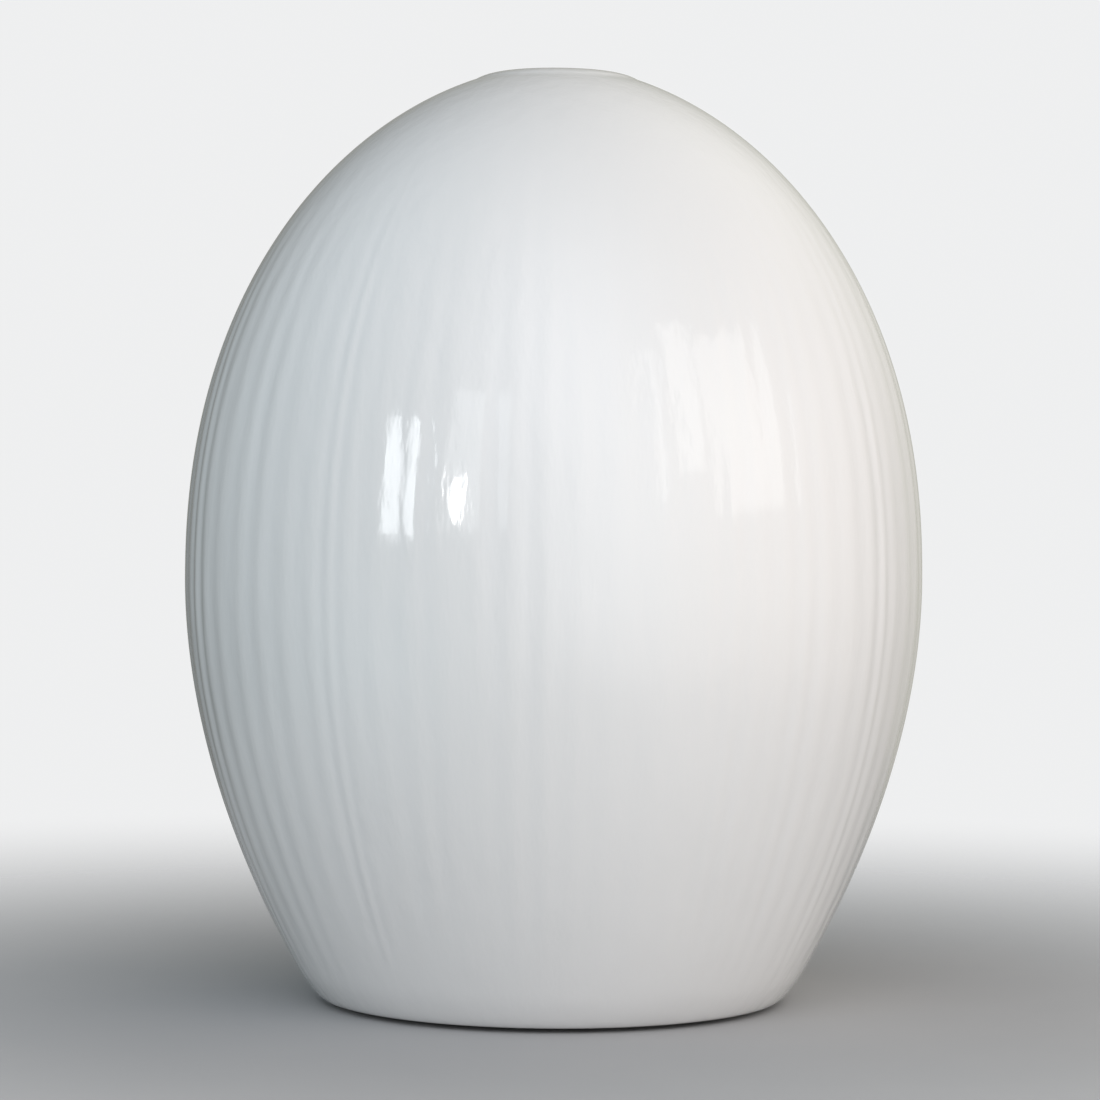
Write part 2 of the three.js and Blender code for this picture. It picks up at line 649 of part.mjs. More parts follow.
function buildTrain() {
  const spokes = 3;
  const second = arborGroup(SECOND_ANGLE);
  const secondBore = ARBOR_RADIUS + 0.05;
  add(second, "second_arbor", arborSolid(ARBOR_RADIUS), turnedSteel);
  const secondPinion = raise(bored(pinionShape(MAIN_MODULE), secondBore), [13.6, 15.6]);
  const towardsMain = Math.PI + radians(SECOND_ANGLE);
  add(second, "second_pinion", secondPinion, turnedSteel, towardsMain + HALF_LEAF);
  const secondShape = crossedOut(bored(wheelShape(SECOND_MODULE), secondBore), spokes, 1.7, 4.9);
  const secondWheel = raise(secondShape, SECOND_WHEEL_BAND, 3);
  add(second, "second_wheel", secondWheel, rolledBrass, heading(SECOND_ANGLE, THIRD_ANGLE));
  const star = bored(toothed(STAR_TEETH, 1.5, STAR_RADIUS, 0.7, 0.12), secondBore);
  const towardsHammer = heading(SECOND_ANGLE, HAMMER_ANGLE);
  add(second, "strike_star", raise(star, LEVER_BAND), turnedSteel, towardsHammer);

  const third = arborGroup(THIRD_ANGLE);
  const thinBore = THIN_ARBOR_RADIUS + 0.04;
  add(third, "third_arbor", arborSolid(THIN_ARBOR_RADIUS), turnedSteel);
  const thirdPinion = raise(bored(pinionShape(SECOND_MODULE), thinBore), [17.2, 18.8]);
  const towardsSecond = heading(THIRD_ANGLE, SECOND_ANGLE) + HALF_LEAF;
  add(third, "third_pinion", thirdPinion, turnedSteel, towardsSecond);
  const thirdShape = crossedOut(bored(wheelShape(THIRD_MODULE), thinBore), spokes, 1.6, 4.5);
  const thirdWheel = raise(thirdShape, THIRD_WHEEL_BAND, 3);
  add(third, "third_wheel", thirdWheel, rolledBrass, heading(THIRD_ANGLE, ESCAPE_ANGLE));

  const escape = arborGroup(ESCAPE_ANGLE);
  add(escape, "escape_arbor", arborSolid(THIN_ARBOR_RADIUS), turnedSteel);
  const escapePinion = raise(bored(pinionShape(THIRD_MODULE), thinBore), [19.6, 21.2]);
  const towardsThird = heading(ESCAPE_ANGLE, THIRD_ANGLE) + HALF_LEAF;
  add(escape, "escape_pinion", escapePinion, turnedSteel, towardsThird);
  const escapeShape = bored(toothed(ESCAPE_TEETH, 2.3, ESCAPE_RADIUS, 0.5, 0.08), thinBore);
  const escapeWheel = raise(escapeShape, SECOND_WHEEL_BAND);
  add(escape, "escape_wheel", escapeWheel, rolledBrass, heading(ESCAPE_ANGLE, ANCHOR_ANGLE));
}

// ---------------------------------------------------------------- anchor

// Built with the escape wheel's centre at -X, then turned to face it.
function anchorShape() {
  const palletAngle = 39;
  const clearance = 0.15;
  const hub = ring(THIN_ARBOR_RADIUS + 0.04, 1.0, ...SECOND_WHEEL_BAND, 16);
  const arms = [-1, 1].map((side) => {
    const [x, y] = polar(ESCAPE_RADIUS + clearance, side * palletAngle);
    const [rootX, rootY] = polar(ESCAPE_RADIUS + 1.3, side * palletAngle);
    const reach = x - ANCHOR_DISTANCE;
    const root = rootX - ANCHOR_DISTANCE;
    const half = 0.17;
    const pallet = new THREE.Shape();
    const [sin, cos] = [Math.sin(radians(side * palletAngle)), Math.cos(radians(side * palletAngle))];
    pallet.moveTo(reach - half * sin, y + half * cos);
    pallet.lineTo(reach + half * sin, y - half * cos);
    pallet.lineTo(root + 2 * half * sin, rootY - 2 * half * cos);
    pallet.lineTo(root - 2 * half * sin, rootY + 2 * half * cos);
    const arm = strip([-0.5, side * 0.5], [root, rootY], 0.4, SECOND_WHEEL_BAND);
    return join(arm, raise(pallet, SECOND_WHEEL_BAND));
  });
  const bore = rod(THIN_ARBOR_RADIUS + 0.04, ...through(SECOND_WHEEL_BAND), 16);
  return cut(join(hub, ...arms), bore);
}

function buildAnchor() {
  const anchor = arborGroup(ANCHOR_ANGLE);
  const away = heading(ESCAPE_ANGLE, ANCHOR_ANGLE);
  add(anchor, "anchor_arbor", arborSolid(THIN_ARBOR_RADIUS), turnedSteel);
  add(anchor, "anchor", anchorShape(), turnedSteel, away);
  const bobBand = [20.0, 21.2];
  const bobReach = 3;
  const beam = strip([-bobReach, 0], [bobReach, 0], 0.7, [20.2, 21.0]);
  const weights = [-bobReach, bobReach].map((x) => moved(rod(1.2, ...bobBand), x, 0));
  const bore = rod(THIN_ARBOR_RADIUS + 0.04, ...through(bobBand));
  const bob = cut(join(beam, ...weights, rod(1.1, ...bobBand)), bore);
  add(anchor, "inertia_bob", bob, rolledBrass, away + Math.PI / 2);
}

// ---------------------------------------------------------------- hammer and release

const HAMMER_LIFT = 13.7;
const HAMMER_ARM_LENGTH = 7.6;
const HAMMER_ARM_HEADING = 47;
const HEAD_RADIUS = 1.2;

function buildHammer() {
  const hammer = arborGroup(HAMMER_ANGLE);
  add(hammer, "hammer_arbor", turn([
    [0, 6.1], [PIVOT_RADIUS, 6.1], [PIVOT_RADIUS, 7.1], [ARBOR_RADIUS, 7.1], [ARBOR_RADIUS, 26.6],
    [0, 26.6],
  ], 12), turnedSteel);
  const grip = ARBOR_RADIUS + 0.05;
  const towardsStar = THREE.MathUtils.radToDeg(heading(HAMMER_ANGLE, SECOND_ANGLE));
  const finger = strip([0, 0], polar(6.35, towardsStar + HAMMER_LIFT), 0.35, LEVER_BAND);
  const tail = strip([0, 0], polar(3.5, towardsStar + 128), 0.5, LEVER_BAND);
  const hub = rod(1.2, ...LEVER_BAND);
  const leverBore = rod(grip, ...through(LEVER_BAND));
  add(hammer, "hammer_lever", cut(join(hub, finger, tail), leverBore), turnedSteel);

  const headPlace = polar(HAMMER_ARM_LENGTH, HAMMER_ARM_HEADING);
  const arm = join(
    strip([0, 0], headPlace, 0.55, HAMMER_ARM_BAND),
    rod(1.2, ...HAMMER_ARM_BAND),
    moved(rod(0.95, ...HAMMER_ARM_BAND), ...headPlace),
  );
  const rivetHole = moved(rod(0.5, ...through(HAMMER_ARM_BAND)), ...headPlace);
  const armBore = rod(grip, ...through(HAMMER_ARM_BAND));
  add(hammer, "hammer_arm", cut(arm, armBore, rivetHole), turnedSteel);
  const head = turn([
    [0, 24.9], [0.45, 24.9], [0.45, 26.05], [HEAD_RADIUS, 26.05], [HEAD_RADIUS, 29.2],
    [HEAD_RADIUS - 0.4, 29.6], [0, 29.6],
  ], 12);
  add(hammer, "hammer_head", moved(head, ...headPlace), rolledBrass);
  add(hammer, "hammer_spring", returnSpring(), bluedSteel);
}

// The lever's nose meets the cam where a line from its arbor passes the cam squarely.
const NOSE_BAR_RADIUS = 6.0;
const NOSE_RADIUS = 4.5;

function noseAngle() {
  const swing = THREE.MathUtils.radToDeg(Math.acos(NOSE_BAR_RADIUS / TRAIN_RADIUS));
  return RELEASE_ANGLE + swing;
}

function buildRelease() {
  const release = arborGroup(RELEASE_ANGLE);
  const [arborX, arborY] = polar(TRAIN_RADIUS, RELEASE_ANGLE);
  const local = ([x, y]) => [x - arborX, y - arborY];
  add(release, "release_arbor", arborSolid(ARBOR_RADIUS), turnedSteel);
  const barEnd = local(polar(NOSE_BAR_RADIUS, noseAngle()));
  const noseTip = local(polar(NOSE_RADIUS + 0.3, noseAngle()));
  const catchTip = [6.6, 3.55];
  const lever = cut(
    join(
      rod(1.2, ...LEVER_BAND),
      strip([0, 0], barEnd, 0.5, LEVER_BAND),
      strip(barEnd, noseTip, 0.3, LEVER_BAND),
      strip([0, 0], catchTip, 0.5, LEVER_BAND),
    ),
    rod(ARBOR_RADIUS + 0.05, ...through(LEVER_BAND)),
  );
  add(release, "release_lever", lever, turnedSteel);
  add(release, "release_spring", returnSpring(), bluedSteel);
}

// ---------------------------------------------------------------- assembly

buildFoot();
buildPlates();
buildPillars();
add(timer, "mainspring", spiralSpring(), bluedSteel);
buildMainArbor();
buildMainWheel();
buildTrain();
buildAnchor();
buildHammer();
buildRelease();
buildBell();
buildEgg();

export default timer;
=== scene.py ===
# A sixty minute clockwork kitchen timer in the shape of a fluted egg, glazed white all over.
# The egg is twisted on its low foot to set the minutes, and a bell inside rings at zero.

import bpy
import bmesh
import math
from mathutils import Matrix, Quaternion, Vector


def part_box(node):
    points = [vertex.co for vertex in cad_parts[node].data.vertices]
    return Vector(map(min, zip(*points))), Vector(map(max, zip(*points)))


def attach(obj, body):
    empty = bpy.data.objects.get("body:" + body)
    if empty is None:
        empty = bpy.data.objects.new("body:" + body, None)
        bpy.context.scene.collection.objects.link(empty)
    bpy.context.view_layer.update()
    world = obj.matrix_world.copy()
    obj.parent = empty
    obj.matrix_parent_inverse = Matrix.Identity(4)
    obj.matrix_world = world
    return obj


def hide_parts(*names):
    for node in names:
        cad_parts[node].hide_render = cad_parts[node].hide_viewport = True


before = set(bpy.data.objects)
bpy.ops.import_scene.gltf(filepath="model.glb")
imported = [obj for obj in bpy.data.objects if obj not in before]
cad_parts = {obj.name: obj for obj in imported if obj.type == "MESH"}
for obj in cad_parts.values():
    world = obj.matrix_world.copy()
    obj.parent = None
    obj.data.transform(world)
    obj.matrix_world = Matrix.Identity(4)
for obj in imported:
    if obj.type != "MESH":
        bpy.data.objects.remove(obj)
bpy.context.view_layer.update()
MM = 0.001

# ---------------------------------------------------------------- where it stands
# The timer stands on a plain pale table in a soft room: a cool window to the left, a broad warm
# light to the right, and the camera just above the egg's waist, a forearm's length away.

egg_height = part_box("egg_shell")[1].z
camera_distance = 4.0 * egg_height
camera_height = 0.593 * egg_height
aim_height = 0.4857 * egg_height
aim_side = -0.0003
camera_lean = math.radians(0.4)
waist_height = 0.57 * egg_height

lens = bpy.data.cameras.new("view")
lens.sensor_width = 36
lens.lens = 121.2
lens.clip_start = 0.01
camera = bpy.data.objects.new("view", lens)
bpy.context.scene.collection.objects.link(camera)
camera.location = (aim_side, -camera_distance, camera_height)
sight = Vector((aim_side, 0, aim_height)) - Vector(camera.location)
upright = sight.to_track_quat("-Z", "Y")
camera.rotation_euler = (upright @ Quaternion((0, 0, 1), camera_lean)).to_euler()
bpy.context.scene.camera = camera
bpy.context.scene.view_settings.view_transform = "Standard"

floor_mesh = bpy.data.meshes.new("table_top")
floor_rings = [0.05, 0.1, 0.2, 0.4, 0.8, 1.5, 3.0]
floor_sides = 64
floor_points = [(0, 0, 0)]
for ring_radius in floor_rings:
    for side in range(floor_sides):
        turn = 2 * math.pi * side / floor_sides
        floor_points.append((ring_radius * math.cos(turn), ring_radius * math.sin(turn), 0))
floor_faces = [(0, 1 + side, 1 + (side + 1) % floor_sides) for side in range(floor_sides)]
for ring in range(len(floor_rings) - 1):
    start = 1 + ring * floor_sides
    for side in range(floor_sides):
        following = (side + 1) % floor_sides
        floor_faces.append((
            start + side, start + floor_sides + side,
            start + floor_sides + following, start + following,
        ))
floor_mesh.from_pydata(floor_points, [], floor_faces)
table_top = bpy.data.objects.new("table_top", floor_mesh)
bpy.context.scene.collection.objects.link(table_top)


def add_node(material, kind, **settings):
    """One shader node, with its properties set by name and its unlinked inputs by number or name."""
    node = material.node_tree.nodes.new(kind)
    for key, value in settings.items():
        if key == "inputs":
            for socket, amount in value.items():
                node.inputs[socket].default_value = amount
        else:
            setattr(node, key, value)
    return node


def wire(material, source, target):
    """Joins one node's output to another node's input."""
    material.node_tree.links.new(source, target)


# The table's paint fades away a hand's breadth out, so that it runs into the backdrop unseen.
table_fade_start, table_fade_end = 0.025, 0.16
table_paint = bpy.data.materials.new("table_paint")
table_paint.use_nodes = True
table_paint.node_tree.nodes.clear()
surface = add_node(table_paint, "ShaderNodeOutputMaterial")
matt = add_node(table_paint, "ShaderNodeBsdfDiffuse")
see_through = add_node(table_paint, "ShaderNodeBsdfTransparent")
blend_out = add_node(table_paint, "ShaderNodeMixShader")
place = add_node(table_paint, "ShaderNodeTexCoord")
reach = add_node(table_paint, "ShaderNodeVectorMath", operation="LENGTH")
fade = add_node(table_paint, "ShaderNodeMapRange", interpolation_type="SMOOTHSTEP")
fade.inputs["From Min"].default_value = table_fade_start
fade.inputs["From Max"].default_value = table_fade_end
grain = add_node(table_paint, "ShaderNodeTexNoise", inputs={"Scale": 60.0, "Detail": 3.0})
tint = add_node(table_paint, "ShaderNodeValToRGB")
tint.color_ramp.elements[0].color = (0.43, 0.435, 0.44, 1)
tint.color_ramp.elements[1].color = (0.46, 0.46, 0.46, 1)
wire(table_paint, place.outputs["Object"], grain.inputs["Vector"])
wire(table_paint, place.outputs["Object"], reach.inputs[0])
wire(table_paint, reach.outputs["Value"], fade.inputs[0])
wire(table_paint, grain.outputs["Fac"], tint.inputs["Fac"])
wire(table_paint, tint.outputs["Color"], matt.inputs["Color"])
wire(table_paint, fade.outputs[0], blend_out.inputs[0])
wire(table_paint, matt.outputs[0], blend_out.inputs[1])
wire(table_paint, see_through.outputs[0], blend_out.inputs[2])
wire(table_paint, blend_out.outputs[0], surface.inputs["Surface"])
floor_mesh.materials.append(table_paint)

# The room's own light comes in broad soft glows from all round: strongest from above and beside
# the camera, cool from the left, warm from the right, and dim from behind the timer. Each has a
# bearing and a height in degrees, and a colour. Only the plain backdrop is seen beyond the timer.
room_glows = {
    "high_left": (-90, 42, (0.35, 0.45, 0.50)),
    "above_camera": (0, 42, (1.35, 1.35, 1.45)),
    "high_behind_right": (135, 42, (0.70, 0.70, 0.65)),
    "left_rear": (-126, 6, (0.20, 0.20, 0.20)),
    "right_shoulder": (18, 6, (1.10, 1.15, 1.20)),
    "right_front": (54, 6, (0.95, 0.85, 0.75)),
    "right": (90, 6, (1.10, 1.00, 0.95)),
    "behind": (162, 6, (0.45, 0.45, 0.40)),
    "low_left": (-60, -28, (0.45, 0.65, 0.70)),
}
glow_tightness = 7.0


def outward(bearing, elevation):
    """A direction from the egg. Bearing 0 is the camera's side, and positive is its right."""
    across, up = math.radians(bearing), math.radians(elevation)
    return Vector((math.sin(across) * math.cos(up), -math.cos(across) * math.cos(up), math.sin(up)))


backdrop_tone = (0.86, 0.865, 0.87, 1)
room = bpy.data.worlds.new("room")
bpy.context.scene.world = room
room.use_nodes = True
room.node_tree.nodes.clear()
room_out = add_node(room, "ShaderNodeOutputWorld")
room_mix = add_node(room, "ShaderNodeMixShader")
seen = add_node(room, "ShaderNodeLightPath")
backdrop = add_node(room, "ShaderNodeBackground", inputs={"Color": backdrop_tone, "Strength": 1.0})
glow = add_node(room, "ShaderNodeBackground", inputs={"Strength": 1.0})
looking = add_node(room, "ShaderNodeTexCoord")
gathered = None
for bearing, elevation, color in room_glows.values():
    facing = add_node(room, "ShaderNodeVectorMath", operation="DOT_PRODUCT")
    facing.inputs[1].default_value = outward(bearing, elevation)
    off_axis = add_node(room, "ShaderNodeMath", operation="MULTIPLY_ADD")
    off_axis.inputs[1].default_value = glow_tightness
    off_axis.inputs[2].default_value = -glow_tightness
    falloff = add_node(room, "ShaderNodeMath", operation="EXPONENT")
    lit = add_node(room, "ShaderNodeVectorMath", operation="MULTIPLY_ADD")
    lit.inputs[1].default_value = color
    lit.inputs[2].default_value = (0, 0, 0)
    wire(room, looking.outputs["Generated"], facing.inputs[0])
    wire(room, facing.outputs["Value"], off_axis.inputs[0])
    wire(room, off_axis.outputs[0], falloff.inputs[0])
    wire(room, falloff.outputs[0], lit.inputs[0])
    if gathered:
        wire(room, gathered, lit.inputs[2])
    gathered = lit.outputs[0]
wire(room, gathered, glow.inputs["Color"])
wire(room, seen.outputs["Is Camera Ray"], room_mix.inputs[0])
wire(room, glow.outputs[0], room_mix.inputs[1])
wire(room, backdrop.outputs[0], room_mix.inputs[2])
wire(room, room_mix.outputs[0], room_out.inputs["Surface"])


def hang_light(name, bearing, elevation, distance, size, watts, color):
    """A flat lamp at a window, facing the egg's waist."""
    lamp = bpy.data.lights.new(name, "AREA")
    lamp.shape = "RECTANGLE"
    lamp.size, lamp.size_y = size
    lamp.energy = watts
    lamp.color = color
    holder = bpy.data.objects.new(name, lamp)
    bpy.context.scene.collection.objects.link(holder)
    waist = Vector((0, 0, waist_height))
    out = outward(bearing, elevation)
    holder.location = waist + distance * out
    holder.rotation_euler = (-out).to_track_quat("-Z", "Y").to_euler()
    holder.visible_camera = False
    return holder


# Two panes and a bare round lamp stand to the left, and three broad dim panes to the right.
hang_light("left_pane", -46, 13, 0.7, (0.1, 0.225), 0.35, (0.93, 0.97, 1.0))
hang_light("near_pane", -26, 17, 0.7, (0.16, 0.29), 0.15, (0.95, 0.98, 1.0))
bare_lamp = hang_light("bare_lamp", -29, 9.5, 0.69, (0.052, 0.09), 0.2, (1.0, 1.0, 1.0))
bare_lamp.data.shape = "ELLIPSE"
hang_light("narrow_pane", 32, 23, 0.8, (0.04, 0.38), 0.045, (1.0, 0.99, 0.96))
hang_light("right_pane", 44, 27.5, 0.8, (0.1, 0.39), 0.13, (1.0, 0.98, 0.95))
hang_light("far_pane", 63, 21.5, 0.8, (0.32, 0.42), 0.36, (1.0, 0.99, 0.97))

# ---------------------------------------------------------------- base pan
# The timer stands on a shallow moulded pan, set a little up inside the egg's mouth. It is a
# satin grey-white plastic with three screw bosses, and three curved slots so that the bell is
# heard. The dial lies in the recess round its underside.

pan_radius = 17.2 * MM
pan_floor_low, pan_floor_high = 1.4 * MM, 3.0 * MM
pan_lip_radius = 15.8 * MM
pan_lip_height = 4.2 * MM
pan_recess_radius = 14.6 * MM
dial_low, dial_high = 0.5 * MM, 0.78 * MM
screw_circle = 8.5 * MM
screw_angles = [math.radians(degrees) for degrees in (20, 140, 260)]
screw_hole = 0.95 * MM
head_bore, head_bore_top = 1.9 * MM, 2.4 * MM
boss_radius = 2.1 * MM
boss_low, boss_high = 2 * MM, 5.98 * MM
dial_bed = dial_high + 0.02 * MM
slot_inner, slot_outer = 5.6 * MM, 9.6 * MM
slot_start, slot_end = math.radians(32), math.radians(88)


def eased(outline, ease, steps=3):
    """The same outline with every corner off the axis rounded over a short distance."""
    rounded = []
    for index, corner in enumerate(outline):
        before, after = outline[index - 1], outline[(index + 1) % len(outline)]
        if corner[0] == 0:
            rounded.append(corner)
            continue
        ends = []
        for other in (before, after):
            length = math.dist(corner, other)
            share = min(ease, 0.45 * length) / length
            ends.append(tuple(c + (o - c) * share for c, o in zip(corner, other)))
        for step in range(steps + 1):
            t = step / steps
            rounded.append(tuple(
                (1 - t) ** 2 * a + 2 * t * (1 - t) * c + t ** 2 * b
                for a, c, b in zip(ends[0], corner, ends[1])
            ))
    return rounded


def turned_mesh(name, outline, sides=128, place=(0, 0)):
    """A closed outline of radius and height, turned about an upright axis."""
    form = bmesh.new()
    rings = []
    for radius, height in outline:
        if radius == 0:
            rings.append([form.verts.new((place[0], place[1], height))])
            continue
        rings.append([
            form.verts.new((
                place[0] + radius * math.cos(2 * math.pi * side / sides),
                place[1] + radius * math.sin(2 * math.pi * side / sides),
                height,
            ))
            for side in range(sides)
        ])
    for index, ring in enumerate(rings):
        above = rings[(index + 1) % len(rings)]
        for side in range(sides):
            following = (side + 1) % sides
            if len(ring) == 1 and len(above) == 1:
                continue
            if len(ring) == 1:
                form.faces.new((ring[0], above[following], above[side]))
            elif len(above) == 1:
                form.faces.new((ring[side], ring[following], above[0]))
            else:
                form.faces.new((ring[side], ring[following], above[following], above[side]))
    bmesh.ops.recalc_face_normals(form, faces=form.faces)
    mesh = bpy.data.meshes.new(name)
    form.to_mesh(mesh)
    form.free()
    return mesh


def set_down(name, mesh, sharp=40):
    """Puts a mesh into the scene as a piece, with smooth faces and crisp edges."""
    mesh.shade_smooth()
    mesh.set_sharp_from_angle(angle=math.radians(sharp))
    piece = bpy.data.objects.new(name, mesh)
    bpy.context.scene.collection.objects.link(piece)
    return piece


def carve(piece, tools, operation="DIFFERENCE"):
    """Cuts tool meshes out of a piece, or joins them to it, and leaves one clean mesh."""
    helpers = []
    for number, tool in enumerate(tools):
        helper = bpy.data.objects.new(f"tool_{number}", tool)
        bpy.context.scene.collection.objects.link(helper)
        helpers.append(helper)
        step = piece.modifiers.new(f"step_{number}", "BOOLEAN")
        step.operation = operation
        step.solver = "EXACT"
        step.object = helper
    graph = bpy.context.evaluated_depsgraph_get()
    result = bpy.data.meshes.new_from_object(piece.evaluated_get(graph))
    piece.modifiers.clear()
    piece.data = result
    for helper in helpers:
        bpy.data.objects.remove(helper)


def arc_slot(name, start, end, low, high, steps=20):
    """A curved slot with round ends, as a solid to cut with."""
    middle = (slot_inner + slot_outer) / 2
    half = (slot_outer - slot_inner) / 2
    trim = half / middle
    points = []
    for step in range(steps + 1):
        angle = start + trim + (end - start - 2 * trim) * step / steps
        points.append((slot_outer * math.cos(angle), slot_outer * math.sin(angle)))
    for centre, first in ((end - trim, end - trim), (start + trim, start + trim + math.pi)):
        cap = [
            (middle * math.cos(centre) + half * math.cos(first + math.pi * step / 8),
             middle * math.sin(centre) + half * math.sin(first + math.pi * step / 8))
            for step in range(1, 8)
        ]
        points += cap
        if centre == end - trim:
            for step in range(steps + 1):
                angle = end - trim - (end - start - 2 * trim) * step / steps
                points.append((slot_inner * math.cos(angle), slot_inner * math.sin(angle)))
    form = bmesh.new()
    face = form.faces.new([form.verts.new((x, y, low)) for x, y in points])
    raised = bmesh.ops.extrude_face_region(form, geom=[face])
    for part in raised["geom"]:
        if isinstance(part, bmesh.types.BMVert):
            part.co.z = high
    bmesh.ops.recalc_face_normals(form, faces=form.faces)
    mesh = bpy.data.meshes.new(name)
    form.to_mesh(mesh)
    form.free()
    return mesh


pan_outline = eased([
    (pan_recess_radius, pan_floor_low), (pan_recess_radius, dial_bed),
    (pan_radius, dial_bed), (pan_radius, pan_lip_height),
    (pan_lip_radius, pan_lip_height), (pan_lip_radius, pan_floor_high),
    (0, pan_floor_high), (0, pan_floor_low),
], 0.2 * MM)
base_pan = set_down("moulded_pan", turned_mesh("moulded_pan", pan_outline, 160))
bosses, bores = [], []
for angle in screw_angles:
    place = (screw_circle * math.cos(angle), screw_circle * math.sin(angle))
    boss = eased([
        (0, boss_low), (boss_radius, boss_low), (boss_radius, boss_high), (0, boss_high),
    ], 0.15 * MM)
    bosses.append(turned_mesh("boss", boss, 40, place))
    bore = [
        (0, -MM), (head_bore, -MM), (head_bore, head_bore_top),
        (screw_hole, head_bore_top), (screw_hole, 8 * MM), (0, 8 * MM),
    ]
    bores.append(turned_mesh("bore", bore, 40, place))
    bores.append(arc_slot("sound_slot", angle + slot_start, angle + slot_end, 0, 5 * MM))
carve(base_pan, bosses, "UNION")
carve(base_pan, bores)
base_pan.data.shade_smooth()
base_pan.data.set_sharp_from_angle(angle=math.radians(35))


def plastic(name, dark, light, grain_scale, rough_low, rough_high, dimple):
    """Moulded plastic: an even colour with a faint cloud, and the fine grain of the mould."""
    material = bpy.data.materials.new(name)
    material.use_nodes = True
    body = material.node_tree.nodes["Principled BSDF"]
    body.inputs["IOR"].default_value = 1.5
    place = add_node(material, "ShaderNodeTexCoord")
    cloud = add_node(material, "ShaderNodeTexNoise", inputs={"Scale": 120.0, "Detail": 3.0})
    tone = add_node(material, "ShaderNodeValToRGB")
    tone.color_ramp.elements[0].position = 0.35
    tone.color_ramp.elements[0].color = dark
    tone.color_ramp.elements[1].position = 0.65
    tone.color_ramp.elements[1].color = light
    mould = add_node(material, "ShaderNodeTexNoise", inputs={"Scale": grain_scale, "Detail": 2.0})
    dull = add_node(material, "ShaderNodeMapRange", inputs={3: rough_low, 4: rough_high})
    dent = add_node(material, "ShaderNodeBump", inputs={"Strength": dimple, "Distance": 0.00005})
    wire(material, place.outputs["Object"], cloud.inputs["Vector"])
    wire(material, place.outputs["Object"], mould.inputs["Vector"])
    wire(material, cloud.outputs["Fac"], tone.inputs["Fac"])
    wire(material, tone.outputs["Color"], body.inputs["Base Color"])
    wire(material, mould.outputs["Fac"], dull.inputs[0])
    wire(material, dull.outputs[0], body.inputs["Roughness"])
    wire(material, mould.outputs["Fac"], dent.inputs["Height"])
    wire(material, dent.outputs["Normal"], body.inputs["Normal"])
    return material


pan_moulding = plastic(
    "pan_moulding", (0.56, 0.555, 0.54, 1), (0.6, 0.595, 0.575, 1), 2600.0, 0.42, 0.58, 0.35,
)
base_pan.data.materials.clear()
base_pan.data.materials.append(pan_moulding)
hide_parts("base_pan")
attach(base_pan, "base")

# ---------------------------------------------------------------- dial
# A thin printed ring faces down round the foot. It is marked every minute from 0 to 60, with a
# figure every five, and the egg's red index reads against it when the timer is picked up.

dial_inner, dial_outer = 14.8 * MM, 17.0 * MM
degrees_a_minute = 5.5
line_circle = 16.85 * MM
figure_circle = 15.55 * MM
figure_size = 1.15 * MM
ink_depth = 0.02 * MM

dial_outline = eased([
    (dial_inner, dial_low), (dial_outer, dial_low), (dial_outer, dial_high), (dial_inner, dial_high),
], 0.06 * MM, 2)
dial = set_down("dial_card", turned_mesh("dial_card", dial_outline, 160))
dial_white = plastic(
    "dial_white", (0.76, 0.75, 0.72, 1), (0.8, 0.79, 0.765, 1), 900.0, 0.3, 0.42, 0.12,
)
dial.data.materials.append(dial_white)
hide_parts("dial_ring")
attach(dial, "base")

marks = bmesh.new()


def print_bar(angle, inner, outer, half_width):
    """One printed minute line, standing a hair proud of the dial's underside."""
    along = Vector((math.cos(angle), math.sin(angle), 0))
    across = Vector((-math.sin(angle), math.cos(angle), 0))
    corners = []
    for height in (dial_low - ink_depth, dial_low + ink_depth):
        for radius, side in ((inner, -1), (outer, -1), (outer, 1), (inner, 1)):
            spot = along * radius + across * half_width * side
            corners.append(marks.verts.new((spot.x, spot.y, height)))
    for face in ((0, 1, 2, 3), (7, 6, 5, 4), (0, 4, 5, 1), (1, 5, 6, 2), (2, 6, 7, 3), (3, 7, 4, 0)):
        marks.faces.new([corners[corner] for corner in face])


for minute in range(61):
    angle = math.radians(-degrees_a_minute * minute)
    fifth = minute % 5 == 0
    length, half_width = (0.62 * MM, 0.075 * MM) if fifth else (0.4 * MM, 0.04 * MM)
    print_bar(angle, line_circle - length, line_circle, half_width)
for minute in range(0, 61, 5):
    lettering = bpy.data.curves.new("figure", "FONT")
    lettering.body = str(minute)
    lettering.size = figure_size
    lettering.align_x = "CENTER"
    lettering.align_y = "CENTER"
    lettering.extrude = ink_depth
    lettering.resolution_u = 6
    stamp = bpy.data.objects.new("figure", lettering)
    bpy.context.scene.collection.objects.link(stamp)
    graph = bpy.context.evaluated_depsgraph_get()
    figure = bpy.data.meshes.new_from_object(stamp.evaluated_get(graph))
    angle = math.radians(-degrees_a_minute * minute)
    upward = Vector((math.cos(angle), math.sin(angle), 0))
    right = Vector((-math.sin(angle), math.cos(angle), 0))
    spot = upward * figure_circle
    figure.transform(Matrix((
        (right.x, upward.x, 0, spot.x),
        (right.y, upward.y, 0, spot.y),
        (0, 0, -1, dial_low),
        (0, 0, 0, 1),
    )))
    marks.from_mesh(figure)
    bpy.data.objects.remove(stamp)
bmesh.ops.recalc_face_normals(marks, faces=marks.faces)
mark_mesh = bpy.data.meshes.new("dial_marks")
marks.to_mesh(mark_mesh)
marks.free()
dial_marks = bpy.data.objects.new("dial_marks", mark_mesh)
bpy.context.scene.collection.objects.link(dial_marks)
dial_ink = plastic(
    "dial_ink", (0.03, 0.03, 0.034, 1), (0.05, 0.05, 0.055, 1), 1500.0, 0.4, 0.55, 0.1,
)
mark_mesh.materials.append(dial_ink)
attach(dial_marks, "base")

